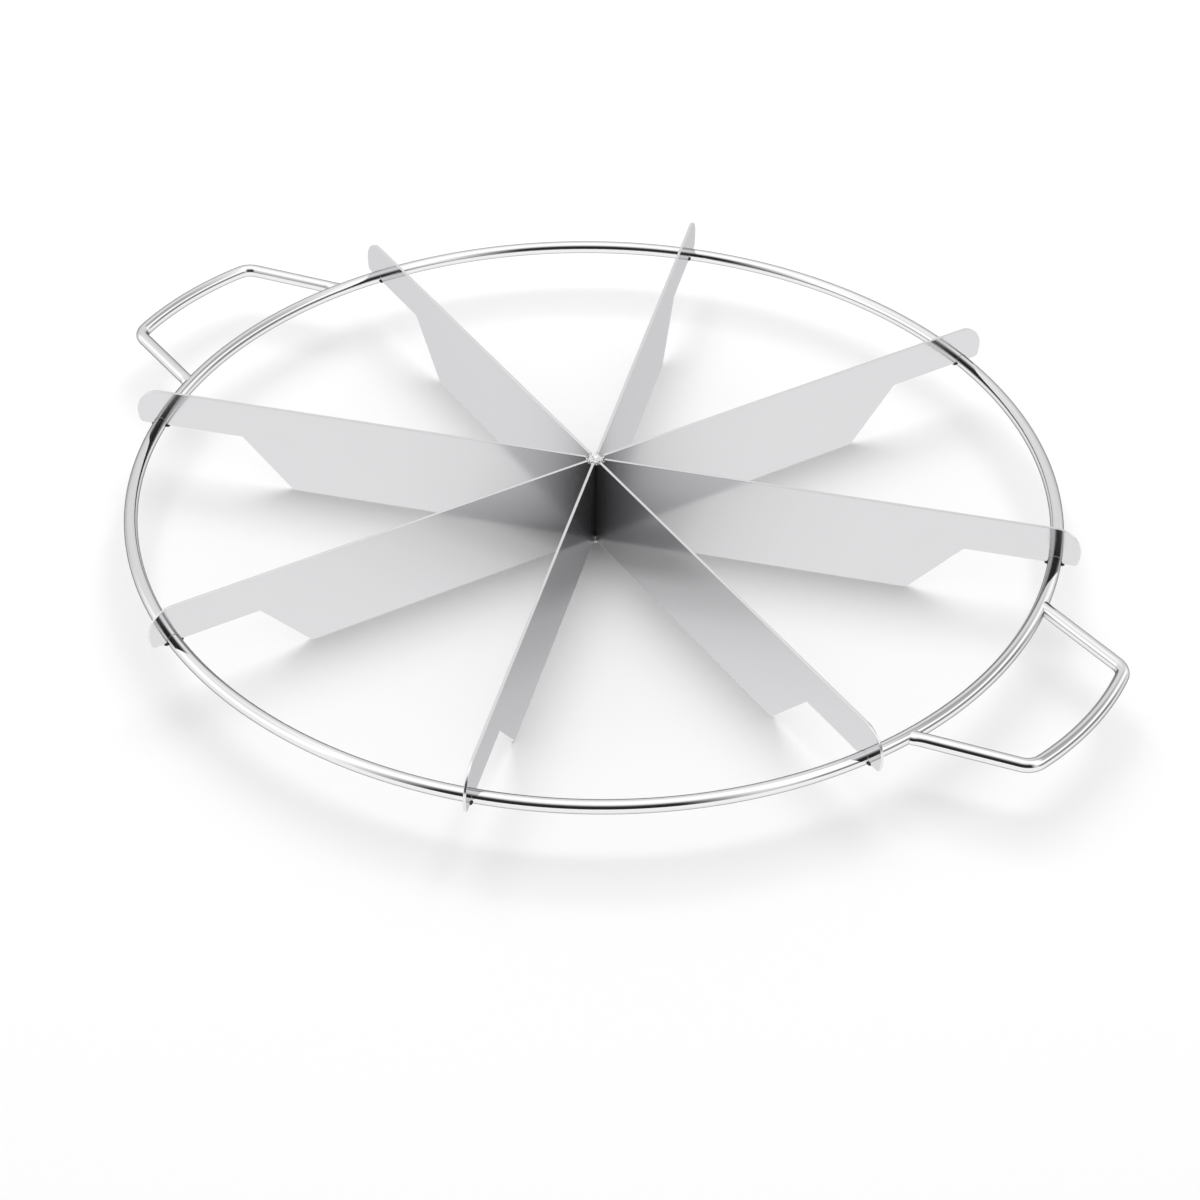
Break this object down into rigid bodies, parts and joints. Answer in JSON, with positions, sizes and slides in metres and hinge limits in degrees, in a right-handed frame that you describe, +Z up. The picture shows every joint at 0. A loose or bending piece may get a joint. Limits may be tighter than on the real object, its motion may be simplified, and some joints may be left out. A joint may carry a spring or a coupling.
{
  "type": "cake portion marker",
  "caption": "Open round steel frame that is pressed on a round cake to mark equal portions: upright blades meet at a centre pin, and wire loop handles stand out on opposite sides.",
  "frame": {"origin": "on the centre pin's axis, in the plane of the blades' lower edges", "axes": "+X along the line through both handles, +Z up, from the lower edges to the top edges"},
  "size_m": [0.3346, 0.2738, 0.029],
  "materials": {
    "sheet": "bright annealed stainless sheet, near mirror",
    "wire": "polished stainless wire",
    "weld": "electropolished stainless weld"
  },
  "bodies": {
    "root": {"blade_1": "sheet", "blade_2": "sheet", "blade_3": "sheet", "blade_4": "sheet", "blade_5": "sheet", "blade_6": "sheet", "blade_7": "sheet", "blade_8": "sheet", "rim_ring": "wire", "centre_pin": "wire", "handle_right": "wire", "handle_left": "wire", "hub_weld_top": "weld", "hub_weld_bottom": "weld", "rim_weld_1_inner": "weld", "rim_weld_1_outer": "weld", "rim_weld_2_inner": "weld", "rim_weld_2_outer": "weld", "rim_weld_3_inner": "weld", "rim_weld_3_outer": "weld", "rim_weld_4_inner": "weld", "rim_weld_4_outer": "weld", "rim_weld_5_inner": "weld", "rim_weld_5_outer": "weld", "rim_weld_6_inner": "weld", "rim_weld_6_outer": "weld", "rim_weld_7_inner": "weld", "rim_weld_7_outer": "weld", "rim_weld_8_inner": "weld", "rim_weld_8_outer": "weld"}
  },
  "joints": []
}
